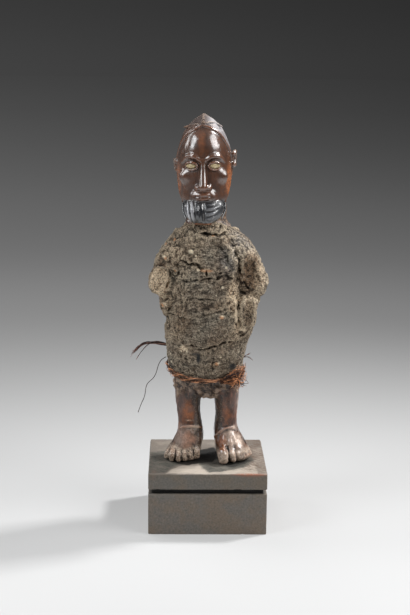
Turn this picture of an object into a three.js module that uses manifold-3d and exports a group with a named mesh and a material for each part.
// Carved wooden figure with an earth charge round its trunk, standing on a grooved wooden base.
// Millimetres, +Z up, the front looks along -Y. The origin is the centre of the base's underside.

import * as THREE from 'three';
import { mergeVertices } from 'three/addons/utils/BufferGeometryUtils.js';
import Module from 'manifold-3d';

const wasm = await Module();
wasm.setup();

// Driving dimensions

const GAP = 0.3; // clearance between two pieces that touch
const MERGE = 1e-4; // vertices nearer than this are one
const DEG = Math.PI / 180;

const BASE = {
  width: 75, depth: 70, height: 40.2, topSlab: 10.3, groove: 3, grooveDepth: 2.5, corner: 1.2, bevel: 0.5,
};
const SOLE = BASE.height + GAP; // height of the heels

const HEAD = { x: -3.7, y: 0, z: 230, yaw: -4, roll: -1.3 }; // centre in mm, turns in degrees
const EAR = {
  reach: 2.3, depth: 2.6, tube: 1.2, y: 1.5,
  left: { height: 0, radius: 3.2 }, right: { height: 4.4, radius: 4 },
};
const EYE = { x: 7.2, height: 1.5, y: -15.7, width: 7.6, tall: 3.9, thick: 1.7, turn: 22 };
const BROW = { inner: 2, outer: 12.8, height: 5.2, rise: 2.2, tube: 1.2 };
const NOSE = { top: 4, tip: -11.6, bridge: 1.7, tipRadius: 2.9, reach: 3.4, wing: 3.3 };
const MOUTH = { height: -17, halfWidth: 5.9, lip: 1.35, reach: 1.1, mound: [7.6, 2.8, 5] };
const HAIR = {
  lift: 0.8, crown: 27.5, crownY: -7, ear: 4, earY: 0.5, nape: -6, band: 1.05,
  ringHeight: 24.6, ringDrop: 1.6, ringProud: 0.3,
  crossing: [[6, -9.6, 22.6], [2, -9, 26.4], [-2.4, -7, 28.6]],
};
// Beard ribs: level ones on the right and upright ones on the left, as heights and places across the beard.
const RIBS = { radius: 1.1, sink: 0.5, level: [-22.8, -26.2, -29.6], upright: [-7.6, -4] };

// Each row is a level section: [height, left, right, front, back], in mm.
// Heights on the head and the beard count from the head's centre, all others from the base's underside.
const HEAD_ROWS = [
  [-28, -6, 6, -13.5, -3],
  [-26, -9.4, 9.4, -16, 3],
  [-21, -13.6, 13.6, -17.6, 9],
  [-13, -15.8, 15.8, -17.6, 15],
  [-5, -16.8, 16.8, -17.4, 19.4],
  [2, -17.1, 17.1, -17.2, 20.8],
  [8, -16.1, 16.1, -17.6, 20.4],
  [15.5, -13.7, 13.7, -16.4, 17.6],
  [21, -11.2, 11.2, -13.8, 14.4],
  [26, -7.6, 7.8, -9.4, 10.2],
  [29.5, -4.4, 4.6, -5.2, 6.4],
  [32, -0.9, 1.1, -1.2, 2],
];
const BEARD_ROWS = [
  [-34.4, -5.6, 5.6, -19, -12],
  [-32, -8.6, 8.6, -21, -9],
  [-29, -11, 11, -21.8, -7],
  [-26, -12.3, 12.3, -21.6, -6],
  [-22, -12.2, 12.2, -20.4, -6],
  [-19, -9.5, 9.5, -17.5, -6],
];
const TRUNK_ROWS = [
  [82.5, -13, 12.4, -6, 7],
  [85.5, -18.4, 17.8, -9.6, 11],
  [89.5, -20.9, 20.2, -11.8, 13.6],
  [94, -20.4, 19.6, -12.6, 14.4],
  [102, -18.5, 17.5, -13, 13.6],
  [114, -16, 15, -12.6, 12.2],
  [134, -15.4, 14.4, -12.6, 12],
  [160, -18.4, 17, -13, 12.8],
  [178, -18, 15, -12, 13],
  [188, -16, 11, -10.4, 12.4],
  [197, -15.4, 9.7, -9.4, 11.6],
  [206, -15.3, 9.6, -8.6, 11.4],
  [215, -12, 6.4, -5, 8],
];
// Legs and feet have a sixth value, how much the back of the section closes in on the heel.
const LEG_ROWS = {
  left: [
    [SOLE, -24.6, -5.8, -11, 12.2, 0.5],
    [42.6, -26.7, -4.7, -12.2, 13.4, 0.5],
    [46, -26, -3.6, -12.2, 13.6, 0.45],
    [50, -23.4, -2.8, -11.4, 12.8, 0.35],
    [54, -21, -2.3, -10.3, 11.2, 0.2],
    [58.5, -19.2, -2.5, -9, 9.8, 0.05],
    [63, -18.6, -3.4, -8.3, 9.2, 0],
    [74, -19.8, -4.8, -9.4, 10.8, 0],
    [81, -20.8, -4.3, -10.6, 13.4, 0],
    [87, -20.8, -3.2, -10.6, 14.6, 0],
    [94, -18.5, -4, -8, 11.5, 0],
  ],
  right: [
    [SOLE, 7.4, 26.6, -11.6, 12.2, 0.5],
    [42.6, 6.6, 28.6, -13.2, 13.4, 0.5],
    [46, 5.9, 28, -13.4, 13.6, 0.45],
    [50, 5.1, 25.6, -12.6, 12.8, 0.35],
    [54, 4.5, 23.2, -11, 11.2, 0.2],
    [58.5, 4.4, 20.6, -9.2, 9.8, 0.05],
    [63, 5, 19.4, -8.3, 9.2, 0],
    [74, 5.1, 19.6, -9.4, 10.8, 0],
    [81, 4.3, 20.2, -10.6, 13.4, 0],
    [87, 3.2, 20.2, -10.6, 14.6, 0],
    [94, 4, 18, -8, 11.5, 0],
  ],
};
const HEEL_X = { left: -11, right: 12.4 };
// Each toe: [tip x, tip y, tip height above the base, root x, root y, root z, radius].
const TOES = {
  left: [
    [-26.3, -6.6, 2.2, -24.2, -6.6, 49.5, 1.4],
    [-22.6, -11, 2.3, -21.6, -8.8, 49.6, 1.7],
    [-18.5, -12.4, 2.4, -18.6, -9.8, 49.8, 1.75],
    [-14.5, -11.6, 2.7, -15.2, -9.8, 50.4, 1.7],
    [-10.9, -10.2, 3.2, -11.6, -9.6, 50.8, 1.6],
    [-6.8, -8.8, 4.2, -7.4, -8.4, 51.4, 2.2],
  ],
  right: [
    [10.4, -15.6, 3.8, 9.8, -11.2, 51, 3],
    [16.6, -14.2, 3.1, 14.4, -11.6, 50.6, 1.9],
    [20.6, -11.6, 3, 17.6, -10.8, 51, 1.6],
    [23.8, -9, 3.1, 20.4, -9.6, 51.2, 1.5],
    [26.2, -6.4, 3.2, 22.6, -8.2, 51.2, 1.4],
    [28, -3.8, 3.3, 24.6, -6, 50.6, 1.3],
  ],
};
const ANKLE_RIMS = {
  left: [[-18.8, -3, 60], [-17, -7, 62], [-11.2, -9, 63.4], [-6, -7.4, 62.6], [-3, -3, 61]],
  right: [[4.4, -3, 57], [6.4, -7.2, 60.4], [11.8, -9, 63.6], [16, -8, 63.2], [19.4, -4, 60.4]],
};
const LOIN = [0, -6.5, 87.4, 4.6, 4.6, 5.4]; // ball between the thighs: x, y, z and its three radii

const PACK_ROWS = [
  [93.5, -18.5, 17.4, -13.5, 14.5],
  [96, -21.4, 20, -17, 18],
  [100, -23.8, 21.8, -19.8, 20.6],
  [106, -25.4, 22.9, -21.4, 21.8],
  [116, -27.1, 24.4, -23, 23],
  [126, -28, 26.2, -24.2, 23.8],
  [134, -27, 25.8, -25, 24.2],
  [142, -25.6, 24.4, -25.2, 24],
  [152, -24.6, 22.8, -24.8, 23.6],
  [164, -24, 22, -24, 23],
  [174, -23.6, 21.6, -22.8, 22],
  [182, -22.6, 20, -20.6, 20.6],
  [188, -20.2, 16.8, -18, 18.8],
  [192.5, -16.8, 12.6, -14.8, 17],
  [196, -13.6, 10, -11, 14.6],
];
const PACK = { squareness: 2.5, wallGap: 0.35 };
// The arms under the charge stand out at both sides, and a forearm bulges at the lower right.
const ARM_ROWS = {
  left: [
    [132, -26.4, -17, -9, 7],
    [137, -29.4, -16, -13.5, 10],
    [142, -31, -14, -15, 11.5],
    [147, -31.4, -14, -14.4, 12],
    [151, -33.4, -14, -13, 12.5],
    [155.5, -37.2, -14, -13, 13],
    [160, -37.2, -12, -14, 13.5],
    [166, -34.8, -10, -15, 14],
    [172, -33.2, -8, -15.5, 14.5],
    [178, -30, -6, -14.5, 14.5],
    [184, -24.6, -4, -12, 13.5],
    [190.5, -20.6, -4, -9, 12],
  ],
  right: [
    [146, 18, 29, -9, 9],
    [149.5, 15, 34, -14, 12],
    [153.5, 13, 36.8, -17, 13.5],
    [158, 12, 37.6, -18.4, 14.5],
    [165, 10, 35.4, -18.8, 15],
    [171, 8, 33.2, -18.4, 15],
    [177, 6, 30, -17, 14.8],
    [183, 4, 25.2, -14.4, 14],
    [187.6, 3, 20, -11, 12.4],
    [191, 3, 15, -8, 11],
  ],
  forearm: [
    [122, 18, 25, -14, -2],
    [128, 16, 27.6, -19, 2],
    [135, 15, 29.5, -22.4, 5],
    [142, 15, 30, -23.6, 6],
    [148, 16, 31, -22.4, 6],
    [153.5, 18, 28, -18, 2],
  ],
};
// Breaks: the left arm is snapped off flat, the right arm and the forearm are hollowed out.
const FLAT_BREAK = { x: -34.6, y: -19, z: 159, size: 24, yaw: -18, pitch: 5 };
const HOLLOW_BREAKS = [
  [28, -20.6, 165, 6.8, 8, 13],
  [25, -22.6, 138.6, 4.4, 5.4, 11],
];
// Cracks across the front of the charge, each a run of [x, z] points.
const CRACKS = [
  [[-6, 190.6], [2, 189.6], [10.4, 189.8]],
  [[-19, 173], [-14, 173.2], [-9.6, 171.4], [-3.5, 169.6], [-0.6, 170.4]],
  [[-24.4, 164], [-17, 161.8], [-9.6, 160.4], [-2.6, 162.6], [5.6, 165.2], [11.4, 162.6]],
  [[-14.4, 150.4], [-6, 149.6], [3.2, 150.2]],
  [[-12.8, 120.4], [-3.5, 119.4], [5, 121.2], [12, 122.8], [17.4, 122.4]],
  [[-26, 142.2], [-25.2, 140], [-21.4, 139.6]],
];
const CRACK = { halfWidth: 0.75, tip: 0.2, deep: 2.4 };

const CORD = {
  radius: 0.95, lift: 1.3, left: 101.4, front: 96.4, right: 99, back: 99.5, spread: 3.2, knotAngle: 50,
};
const KNOT = { x: 15.4, y: -17.2, z: 97.6, radius: 3.6 };
// Frayed ends that leave the knot: tips as [x, y, z]
const TAILS = [
  [20.6, -14, 107.4], [23.6, -11.6, 103.2], [25, -12, 99],
  [21.8, -14.8, 95.6], [18, -17.4, 91.4], [11.8, -20.4, 99.6],
];

const SPRIG = {
  stem: [[-24, -1, 115.4], [-27.6, -1, 115.7], [-33, -1, 116.8], [-38.1, -1, 116.7], [-41.8, -1, 115.9],
    [-44.4, -1, 113.8], [-46.9, -1, 111.5], [-49.1, -1, 109.5]],
  side: [[-37.4, -1, 116.2], [-39.8, -1.4, 114.4], [-42.9, -1.8, 110.8], [-44.8, -2, 108],
    [-46.2, -2, 105.4]],
};
const WISP = {
  root: [20.6, -8, 109.2],
  tips: [[27, -8.4, 112.2], [28.4, -8.2, 107.4]],
  bends: [[24.2, -8.2, 110.6], [25.6, -8.2, 109.4]],
};
const THREAD = {
  radius: 0.25,
  route: [[-26.9, -4, 108.2], [-28, -4, 107.6], [-29.4, -4, 106.6], [-30.5, -4, 105.3], [-31.4, -4, 103.6],
    [-32.2, -4, 101.4], [-32.9, -4.1, 98.6], [-34, -4.2, 95.8], [-35.4, -4.3, 93.8], [-37.2, -4.4, 92.2],
    [-38.9, -4.4, 90.2], [-39.8, -4.5, 87.4], [-40.2, -4.6, 84.2], [-41, -4.6, 81], [-42.3, -4.7, 78],
    [-43.6, -4.8, 74.8], [-44.7, -4.8, 71.4]],
};

// General shaping

const vec = (p) => new THREE.Vector3(...p);

// A closed three.js geometry as a solid that can be joined and cut.
function solidOf(geometry, matrix = null) {
  const bare = geometry.clone();
  if (matrix) bare.applyMatrix4(matrix);
  for (const name of Object.keys(bare.attributes)) {
    if (name !== 'position') bare.deleteAttribute(name);
  }
  const merged = mergeVertices(bare, MERGE);
  const corners = merged.index.array;
  const kept = [];
  for (let i = 0; i < corners.length; i += 3) {
    const [a, b, c] = [corners[i], corners[i + 1], corners[i + 2]];
    if (a !== b && b !== c && c !== a) kept.push(a, b, c);
  }
  const vertProperties = new Float32Array(merged.attributes.position.array);
  return new wasm.Manifold(new wasm.Mesh({ numProp: 3, vertProperties, triVerts: new Uint32Array(kept) }));
}

function geometryOf(solid) {
  const mesh = solid.getMesh();
  const geometry = new THREE.BufferGeometry();
  geometry.setAttribute('position', new THREE.BufferAttribute(mesh.vertProperties, 3));
  geometry.setIndex(new THREE.BufferAttribute(mesh.triVerts, 1));
  geometry.computeVertexNormals();
  return geometry;
}

const join = (solids) => solids.reduce((whole, solid) => whole.add(solid));
const cut = (solid, cutters) => cutters.reduce((whole, cutter) => whole.subtract(cutter), solid);

// Moves every vertex of a geometry to where place(vertex) says.
function warp(geometry, place) {
  const position = geometry.attributes.position;
  const point = new THREE.Vector3();
  for (let i = 0; i < position.count; i += 1) {
    point.fromBufferAttribute(position, i);
    const moved = place(point);
    position.setXYZ(i, moved.x, moved.y, moved.z);
  }
  return geometry;
}

// The smooth section of a table of rows at one height, as its centre and half sizes.
function sectionAt(rows, height) {
  const heights = rows.map((row) => row[0]);
  const values = rows.flatMap((row) => row.slice(1));
  const columns = rows[0].length - 1;
  const spline = new THREE.CubicInterpolant(heights, values, columns, new Float64Array(columns));
  const level = THREE.MathUtils.clamp(height, heights[0], heights[heights.length - 1]);
  const [left, right, front, back, pinch = 0] = spline.evaluate(level);
  return {
    x: (left + right) / 2, halfX: (right - left) / 2, y: (front + back) / 2, halfY: (back - front) / 2, pinch,
  };
}

// Bends a unit circle towards a square: an exponent of 2 leaves it round.
const squared = (value, power) => Math.sign(value) * Math.abs(value) ** (2 / power);

// The height at a share from 0 to 1 of the way up the rows, with as many steps between two rows as between
// any other two.
function heightAlong(rows, share) {
  const place = share * (rows.length - 1);
  const below = Math.min(Math.floor(place), rows.length - 2);
  return THREE.MathUtils.lerp(rows[below][0], rows[below + 1][0], place - below);
}

// A body through level rows. It has flat ends and one ring of vertices for each row, or rounded ends when
// rings says how many rings its dome takes. Where the rows hold a pinch, the back closes in on x = pinchX.
function loft(rows, { sides = 20, rings = 0, power = 2.2, grow = 0, pinchX = 0 } = {}) {
  const [low, high] = [rows[0][0], rows[rows.length - 1][0]];
  const geometry = rings
    ? new THREE.SphereGeometry(1, sides, rings)
    : new THREE.CylinderGeometry(1, 1, 2, sides, rows.length - 1);
  geometry.rotateX(Math.PI / 2);
  return warp(geometry, (point) => {
    const share = (point.z + 1) / 2;
    const level = rings ? THREE.MathUtils.lerp(low, high, share) : heightAlong(rows, share);
    const height = THREE.MathUtils.mapLinear(level, low, high, low - grow, high + grow);
    const section = sectionAt(rows, height);
    const radius = Math.hypot(point.x, point.y);
    if (radius < 1e-6) return new THREE.Vector3(section.x, section.y, height);
    const across = squared(point.x / radius, power) * (section.halfX + grow);
    const along = squared(point.y / radius, power) * (section.halfY + grow);
    const pinch = 1 - section.pinch * Math.max(0, point.y / radius);
    return new THREE.Vector3(pinchX + (section.x + across - pinchX) * pinch, section.y + along, height);
  });
}

// A rod along a smooth curve through points. Its radius runs through the values in radii, end to end,
// and deep stretches it front to back.
function sweep(points, radii, { sides = 6, steps = 8, deep = 1 } = {}) {
  const curve = new THREE.CatmullRomCurve3(points.map(vec), false, 'centripetal');
  const frames = curve.computeFrenetFrames(steps, false);
  const geometry = new THREE.CylinderGeometry(1, 1, 2, sides, steps);
  return warp(geometry, (point) => {
    const step = Math.round((point.y + 1) / 2 * steps);
    const place = step / steps * (radii.length - 1);
    const before = Math.min(Math.floor(place), radii.length - 2);
    const radius = THREE.MathUtils.lerp(radii[before], radii[before + 1], place - before);
    const offset = new THREE.Vector3()
      .addScaledVector(frames.normals[step], point.x * radius)
      .addScaledVector(frames.binormals[step], -point.z * radius);
    offset.y *= deep;
    return offset.add(curve.getPointAt(step / steps));
  });
}

function ball([x, y, z, radiusX, radiusY, radiusZ], { sides = 14, rings = 10 } = {}) {
  const geometry = new THREE.SphereGeometry(1, sides, rings);
  return geometry.rotateX(Math.PI / 2).scale(radiusX, radiusY, radiusZ).translate(x, y, z);
}

// Base

function makeBase() {
  const slab = (low, high, inset) => {
    const [x, y] = [BASE.width / 2 - inset, BASE.depth / 2 - inset];
    const r = BASE.corner;
    const outline = new THREE.Shape();
    outline.absarc(x - r, y - r, r - BASE.bevel, 0, 90 * DEG);
    outline.absarc(r - x, y - r, r - BASE.bevel, 90 * DEG, 180 * DEG);
    outline.absarc(r - x, r - y, r - BASE.bevel, 180 * DEG, 270 * DEG);
    outline.absarc(x - r, r - y, r - BASE.bevel, 270 * DEG, 360 * DEG);
    const geometry = new THREE.ExtrudeGeometry(outline, {
      depth: high - low - 2 * BASE.bevel, curveSegments: 1,
      bevelEnabled: true, bevelThickness: BASE.bevel, bevelSize: BASE.bevel, bevelSegments: 1,
    });
    return solidOf(geometry.translate(0, 0, low + BASE.bevel));
  };
  const grooveTop = BASE.height - BASE.topSlab;
  const grooveFoot = grooveTop - BASE.groove;
  return join([
    slab(0, grooveFoot, 0),
    slab(grooveFoot - 2, grooveTop + 2, BASE.grooveDepth),
    slab(grooveTop, BASE.height, 0),
  ]);
}

// Head

const HEAD_PLACE = new THREE.Matrix4()
  .makeTranslation(HEAD.x, HEAD.y, HEAD.z)
  .multiply(new THREE.Matrix4().makeRotationZ(HEAD.yaw * DEG))
  .multiply(new THREE.Matrix4().makeRotationY(HEAD.roll * DEG));

const onHead = (geometry) => solidOf(geometry, HEAD_PLACE);

// The front surface of a table of rows at x and a height.
function frontOf(rows, x, height, power = 2.2) {
  const section = sectionAt(rows, height);
  const across = Math.min(Math.abs(x - section.x) / section.halfX, 1);
  return section.y - section.halfY * (1 - across ** power) ** (1 / power);
}

// A point on the head's side where the slanting hairline meets it. side is -1 or 1.
function hairline(height, side) {
  const y = hairlineY(height);
  const section = sectionAt(HEAD_ROWS, height);
  const along = Math.min(Math.abs(y - section.y) / section.halfY, 1);
  const across = section.halfX * (1 - along ** 2.2) ** (1 / 2.2);
  return [section.x + side * across, y, height];
}

// How far back the hairline runs at a height.
const hairlineY = (height) => THREE.MathUtils.lerp(
  HAIR.earY, HAIR.crownY, (height - HAIR.ear) / (HAIR.crown - HAIR.ear));

// The skull, with the hair behind the hairline standing a little proud of the face.
function makeSkull() {
  const bare = loft(HEAD_ROWS, { sides: 18, rings: 12 });
  return onHead(warp(bare, (point) => {
    const hair = point.z > HAIR.nape && point.z < HAIR.crown && point.y > hairlineY(point.z);
    if (!hair) return point.clone();
    const section = sectionAt(HEAD_ROWS, point.z);
    const out = new THREE.Vector3(point.x - section.x, point.y - section.y, 0).setLength(HAIR.lift);
    return out.add(point);
  }));
}

function makeHair() {
  const pieces = [];
  for (const side of [-1, 1]) {
    const line = [HAIR.crown, 22, 16, 10, HAIR.ear].map((height) => hairline(height, side));
    pieces.push(onHead(sweep(line, [HAIR.band, HAIR.band, HAIR.band * 0.8], { sides: 4, steps: 5 })));
    const crossing = HAIR.crossing.map(([x, y, height]) => [side * x, y, height]);
    pieces.push(onHead(sweep(crossing, [0.5, HAIR.band, 0.6], { sides: 4, steps: 2 })));
  }
  const tube = 0.1;
  const ring = new THREE.TorusGeometry(1, tube, 4, 14);
  pieces.push(onHead(warp(ring, (point) => {
    const radius = Math.hypot(point.x, point.y);
    const [across, along] = [point.x / radius, point.y / radius];
    const height = HAIR.ringHeight - HAIR.ringDrop * across ** 2 + point.z / tube * HAIR.band;
    const section = sectionAt(HEAD_ROWS, height);
    const proud = HAIR.ringProud + (radius - 1) / tube * HAIR.band;
    const x = section.x + squared(across, 2.2) * (section.halfX + proud);
    const y = section.y + squared(along, 2.2) * (section.halfY + proud);
    return new THREE.Vector3(x, y, height);
  })));
  return join(pieces);
}

function makeEar(side, { height, radius }) {
  const turns = [50, 95, 140, 180, 220, 265, 310].map((degrees) => degrees * DEG);
  const rim = turns.map((turn) => {
    const out = sectionAt(HEAD_ROWS, height).halfX - 0.6 + EAR.reach * Math.sin(turn / 2) ** 2;
    return [side * out, EAR.y - EAR.depth * Math.cos(turn), height + radius * Math.sin(turn)];
  });
  return onHead(sweep(rim, [EAR.tube * 1.2, EAR.tube, EAR.tube, EAR.tube * 1.2], { sides: 4, steps: 5 }));
}

// Almond lens of one eye. grow widens it into the socket that it sits in.
function eyeLens(side, grow = 0) {
  const lens = warp(new THREE.SphereGeometry(1, 12, 6), (point) => new THREE.Vector3(
    point.x * (EYE.width / 2 + grow),
    point.y * (EYE.thick + grow),
    point.z * Math.sqrt(Math.max(0, 1 - point.x ** 2)) * (EYE.tall / 2 + grow) + point.z * grow * 0.4,
  ));
  lens.rotateZ(side * EYE.turn * DEG).translate(side * EYE.x, EYE.y, EYE.height);
  return onHead(lens);
}

function makeFace() {
  const front = (x, height) => frontOf(HEAD_ROWS, x, height);
  const pieces = [];
  for (const side of [-1, 1]) {
    const brow = [
      [BROW.inner, BROW.height], [BROW.inner + 3.4, BROW.height + BROW.rise],
      [BROW.outer - 3, BROW.height + BROW.rise * 0.8], [BROW.outer, BROW.height - 1.4],
    ].map(([x, height]) => [side * x, front(x, height), height]);
    pieces.push(onHead(sweep(brow, [0.9, BROW.tube, BROW.tube, 0.5], { sides: 4, steps: 4 })));
    const wing = [side * NOSE.wing, front(NOSE.wing, NOSE.tip) - 0.8, NOSE.tip + 0.1, 2, 2.6, 1.9];
    pieces.push(onHead(ball(wing, { sides: 7, rings: 4 })));
  }
  const ridge = [NOSE.top, -2, -7, NOSE.tip].map((height, index) => (
    [0, front(0, height) + 0.6 - NOSE.reach * (index / 3) ** 1.4, height]));
  pieces.push(onHead(sweep(ridge, [NOSE.bridge, 1.9, 2.3, NOSE.tipRadius], { sides: 6, steps: 4 })));
  const mound = [0, front(0, MOUTH.height) + 1.2, MOUTH.height - 0.4, ...MOUTH.mound];
  pieces.push(onHead(ball(mound, { sides: 10, rings: 6 })));
  for (const [lift, radius] of [[1, MOUTH.lip * 0.92], [-1, MOUTH.lip]]) {
    const lip = [-1, -0.5, 0, 0.5, 1].map((share) => {
      const x = share * MOUTH.halfWidth;
      const height = MOUTH.height + lift * radius * 0.9 * (1 - share ** 2);
      return [x, front(x, height) - MOUTH.reach * (1 - share ** 2) + 0.3, height];
    });
    pieces.push(onHead(sweep(lip, [0.5, radius, radius, radius, 0.5], { sides: 4, steps: 4 })));
  }
  return join(pieces);
}

function makeBeard(grow = 0) {
  const body = onHead(loft(BEARD_ROWS, { sides: 14, rings: 6, grow, power: 2.6 }));
  if (grow > 0) return body;
  const pieces = [body];
  const surface = (x, height) => [x, frontOf(BEARD_ROWS, x, height, 2.6) + RIBS.sink, height];
  for (const height of RIBS.level) {
    const end = 10.4 + (height - RIBS.level[0]) / 3;
    const line = [2.2, end * 0.55, end].map((x) => surface(x, height + x * 0.08));
    pieces.push(onHead(sweep(line, [0.5, RIBS.radius, 0.4], { sides: 4, steps: 2 })));
  }
  for (const x of RIBS.upright) {
    const line = [[1, -21], [0.89, -26.5], [0.78, -32]].map(([share, height]) => surface(x * share, height));
    pieces.push(onHead(sweep(line, [0.6, RIBS.radius * 1.1, 0.5], { sides: 4, steps: 2 })));
  }
  for (const side of [-1, 1]) {
    const strap = [-1, -8, -15, -21.5, -26].map((height) => {
      const share = (height + 1) / -25;
      const x = sectionAt(HEAD_ROWS, height).halfX * (1 - 0.08 * share);
      return [side * x, frontOf(HEAD_ROWS, x, height) + 1.2 - share, height];
    });
    pieces.push(onHead(sweep(strap, [0.7, 0.9, 0.8], { sides: 4, steps: 4 })));
  }
  return join(pieces);
}

// Trunk, legs and feet

const makeTrunk = (grow = 0) => solidOf(loft(TRUNK_ROWS, { sides: 13, grow }));

function makeLeg(side) {
  const leg = solidOf(loft(LEG_ROWS[side], { sides: 14, power: 2.4, pinchX: HEEL_X[side] }));
  const toes = TOES[side].map(([tipX, tipY, lift, rootX, rootY, rootZ, radius]) => {
    const tip = new THREE.Vector3(tipX, tipY, BASE.height + lift);
    const root = new THREE.Vector3(rootX, rootY + 1, rootZ);
    const knuckle = tip.clone().lerp(root, 0.45).add(new THREE.Vector3(0, -1.3, 0.5));
    const end = tip.clone().add(tip.clone().sub(knuckle).setLength(radius));
    const run = [root, knuckle, tip, end].map((point) => point.toArray());
    const radii = [0.6, 1, 1, 0.6].map((share) => share * radius);
    return solidOf(sweep(run, radii, { sides: 5, steps: 3 }));
  });
  const rim = solidOf(sweep(ANKLE_RIMS[side], [0.3, 0.8, 0.8, 0.3], { sides: 4, steps: 4 }));
  return join([leg, ...toes, rim]);
}

function makeFigure() {
  const body = join([
    makeSkull(), makeHair(), makeEar(-1, EAR.left), makeEar(1, EAR.right), makeFace(), makeBeard(),
    makeTrunk(), solidOf(ball(LOIN, { sides: 9, rings: 6 })), makeLeg('left'), makeLeg('right'),
  ]);
  return cut(body, [eyeLens(-1, GAP), eyeLens(1, GAP)]);
}

// Charge of earth and resin

const packFront = (x, z) => frontOf(PACK_ROWS, x, z, PACK.squareness);

function makeArms() {
  const flat = new THREE.BoxGeometry(FLAT_BREAK.size, FLAT_BREAK.size, FLAT_BREAK.size * 0.66);
  flat.rotateX(FLAT_BREAK.pitch * DEG).rotateZ(FLAT_BREAK.yaw * DEG);
  flat.translate(FLAT_BREAK.x, FLAT_BREAK.y, FLAT_BREAK.z);
  const arm = (rows) => solidOf(loft(rows, { sides: 12, rings: 7 }));
  const hollows = HOLLOW_BREAKS.map((hollow) => solidOf(ball(hollow, { sides: 9, rings: 6 })));
  return [
    cut(arm(ARM_ROWS.left), [solidOf(flat)]),
    cut(arm(ARM_ROWS.right), [hollows[0]]),
    cut(arm(ARM_ROWS.forearm), [hollows[1]]),
  ];
}

function makePack() {
  const body = solidOf(loft(PACK_ROWS, { sides: 20, power: PACK.squareness }));
  const cracks = CRACKS.map((run) => {
    const line = run.map(([x, z]) => [x, packFront(x, z), z]);
    const radii = [CRACK.tip, CRACK.halfWidth, CRACK.halfWidth, CRACK.tip];
    return solidOf(sweep(line, radii, { sides: 4, steps: 2 * (run.length - 1), deep: CRACK.deep }));
  });
  const crust = cut(join([body, ...makeArms()]), cracks);
  return cut(crust, [makeTrunk(PACK.wallGap), makeBeard(PACK.wallGap), makeSprig(GAP), makeWisp(GAP)]);
}

// Cord, fibres and thread

// A loop round the hips, lying on the charge. rise lifts the side away from the knot.
function cordLoop(rise) {
  const loop = new THREE.TorusGeometry(1, 0.1, 4, 24);
  return solidOf(warp(loop, (point) => {
    const radius = Math.hypot(point.x, point.y);
    const [across, along] = [point.x / radius, point.y / radius];
    const side = across < 0 ? CORD.left : CORD.right;
    const end = along < 0 ? CORD.front : CORD.back;
    const knot = Math.cos(Math.atan2(across, -along) - CORD.knotAngle * DEG);
    const apart = rise * CORD.spread * (1 - THREE.MathUtils.smoothstep(knot, 0.2, 0.95)) / 2;
    const middle = THREE.MathUtils.lerp(end, side, across ** 2) + apart;
    const height = middle + point.z / 0.1 * CORD.radius;
    const section = sectionAt(PACK_ROWS, middle);
    const out = CORD.lift + (radius - 1) / 0.1 * CORD.radius;
    const x = section.x + squared(across, PACK.squareness) * (section.halfX + out);
    const y = section.y + squared(along, PACK.squareness) * (section.halfY + out);
    return new THREE.Vector3(x, y, height);
  }));
}

function makeCord() {
  const { x, y, z, radius } = KNOT;
  const knot = solidOf(ball([x, y, z, radius, radius * 0.8, radius * 0.9], { sides: 7, rings: 5 }));
  const tails = TAILS.map((tip) => {
    const bend = [(x + tip[0]) / 2 + 0.8, (y + tip[1]) / 2 - 1.4, (z + tip[2]) / 2];
    return solidOf(sweep([[x, y, z], bend, tip], [1.6, 1.3, 0.4], { sides: 4, steps: 3 }));
  });
  return cut(join([cordLoop(1), cordLoop(-1), knot, ...tails]), [makePackSkin(), makeTrunk(GAP)]);
}

// The outside of the charge with the gap that the cord keeps to it.
const makePackSkin = () => solidOf(loft(PACK_ROWS, { sides: 20, power: PACK.squareness, grow: GAP }));

function makeSprig(grow = 0) {
  const stem = [1.1, 1.05, 0.95, 0.7, 0.35].map((radius) => radius + grow);
  const side = [0.45, 0.4, 0.3].map((radius) => radius + grow);
  return solidOf(sweep(SPRIG.stem, stem, { sides: 6, steps: 10 }))
    .add(solidOf(sweep(SPRIG.side, side, { sides: 4, steps: 5 })));
}

function makeWisp(grow = 0) {
  return join(WISP.tips.map((tip, index) => {
    const radii = [0.5, 0.4, 0.25].map((radius) => radius + grow);
    return solidOf(sweep([WISP.root, WISP.bends[index], tip], radii, { sides: 4, steps: 3 }));
  }));
}

function makeThread() {
  const route = new THREE.CatmullRomCurve3(THREAD.route.map(vec), false, 'centripetal');
  const section = new THREE.Shape().absarc(0, 0, THREAD.radius, 0, 360 * DEG);
  return new THREE.ExtrudeGeometry(section, { extrudePath: route, steps: 24, curveSegments: 3 });
}

// Assembly

const PAINTS = {
  wood: { color: 0x5a3424, roughness: 0.35, metalness: 0 },
  inlay: { color: 0xcfc3a0, roughness: 0.5, metalness: 0 },
  crust: { color: 0x6e675a, roughness: 0.95, metalness: 0 },
  raffia: { color: 0xb0693f, roughness: 0.8, metalness: 0 },
  fibre: { color: 0x4a352b, roughness: 0.85, metalness: 0 },
  thread: { color: 0x5c564f, roughness: 0.8, metalness: 0 },
  base: { color: 0x57534c, roughness: 0.7, metalness: 0 },
};

const figure = new THREE.Group();

function place(name, geometry, paint) {
  const mesh = new THREE.Mesh(geometry, new THREE.MeshStandardMaterial(PAINTS[paint]));
  mesh.name = name;
  figure.add(mesh);
}

place('base', geometryOf(makeBase()), 'base');
place('carved_figure', geometryOf(makeFigure()), 'wood');
place('left_eye_inlay', geometryOf(eyeLens(-1)), 'inlay');
place('right_eye_inlay', geometryOf(eyeLens(1)), 'inlay');
place('charge_pack', geometryOf(makePack()), 'crust');
place('hip_cord', geometryOf(makeCord()), 'raffia');
place('side_sprig', geometryOf(makeSprig()), 'fibre');
place('side_wisp', geometryOf(makeWisp()), 'fibre');
place('hanging_thread', makeThread(), 'thread');

export default figure;
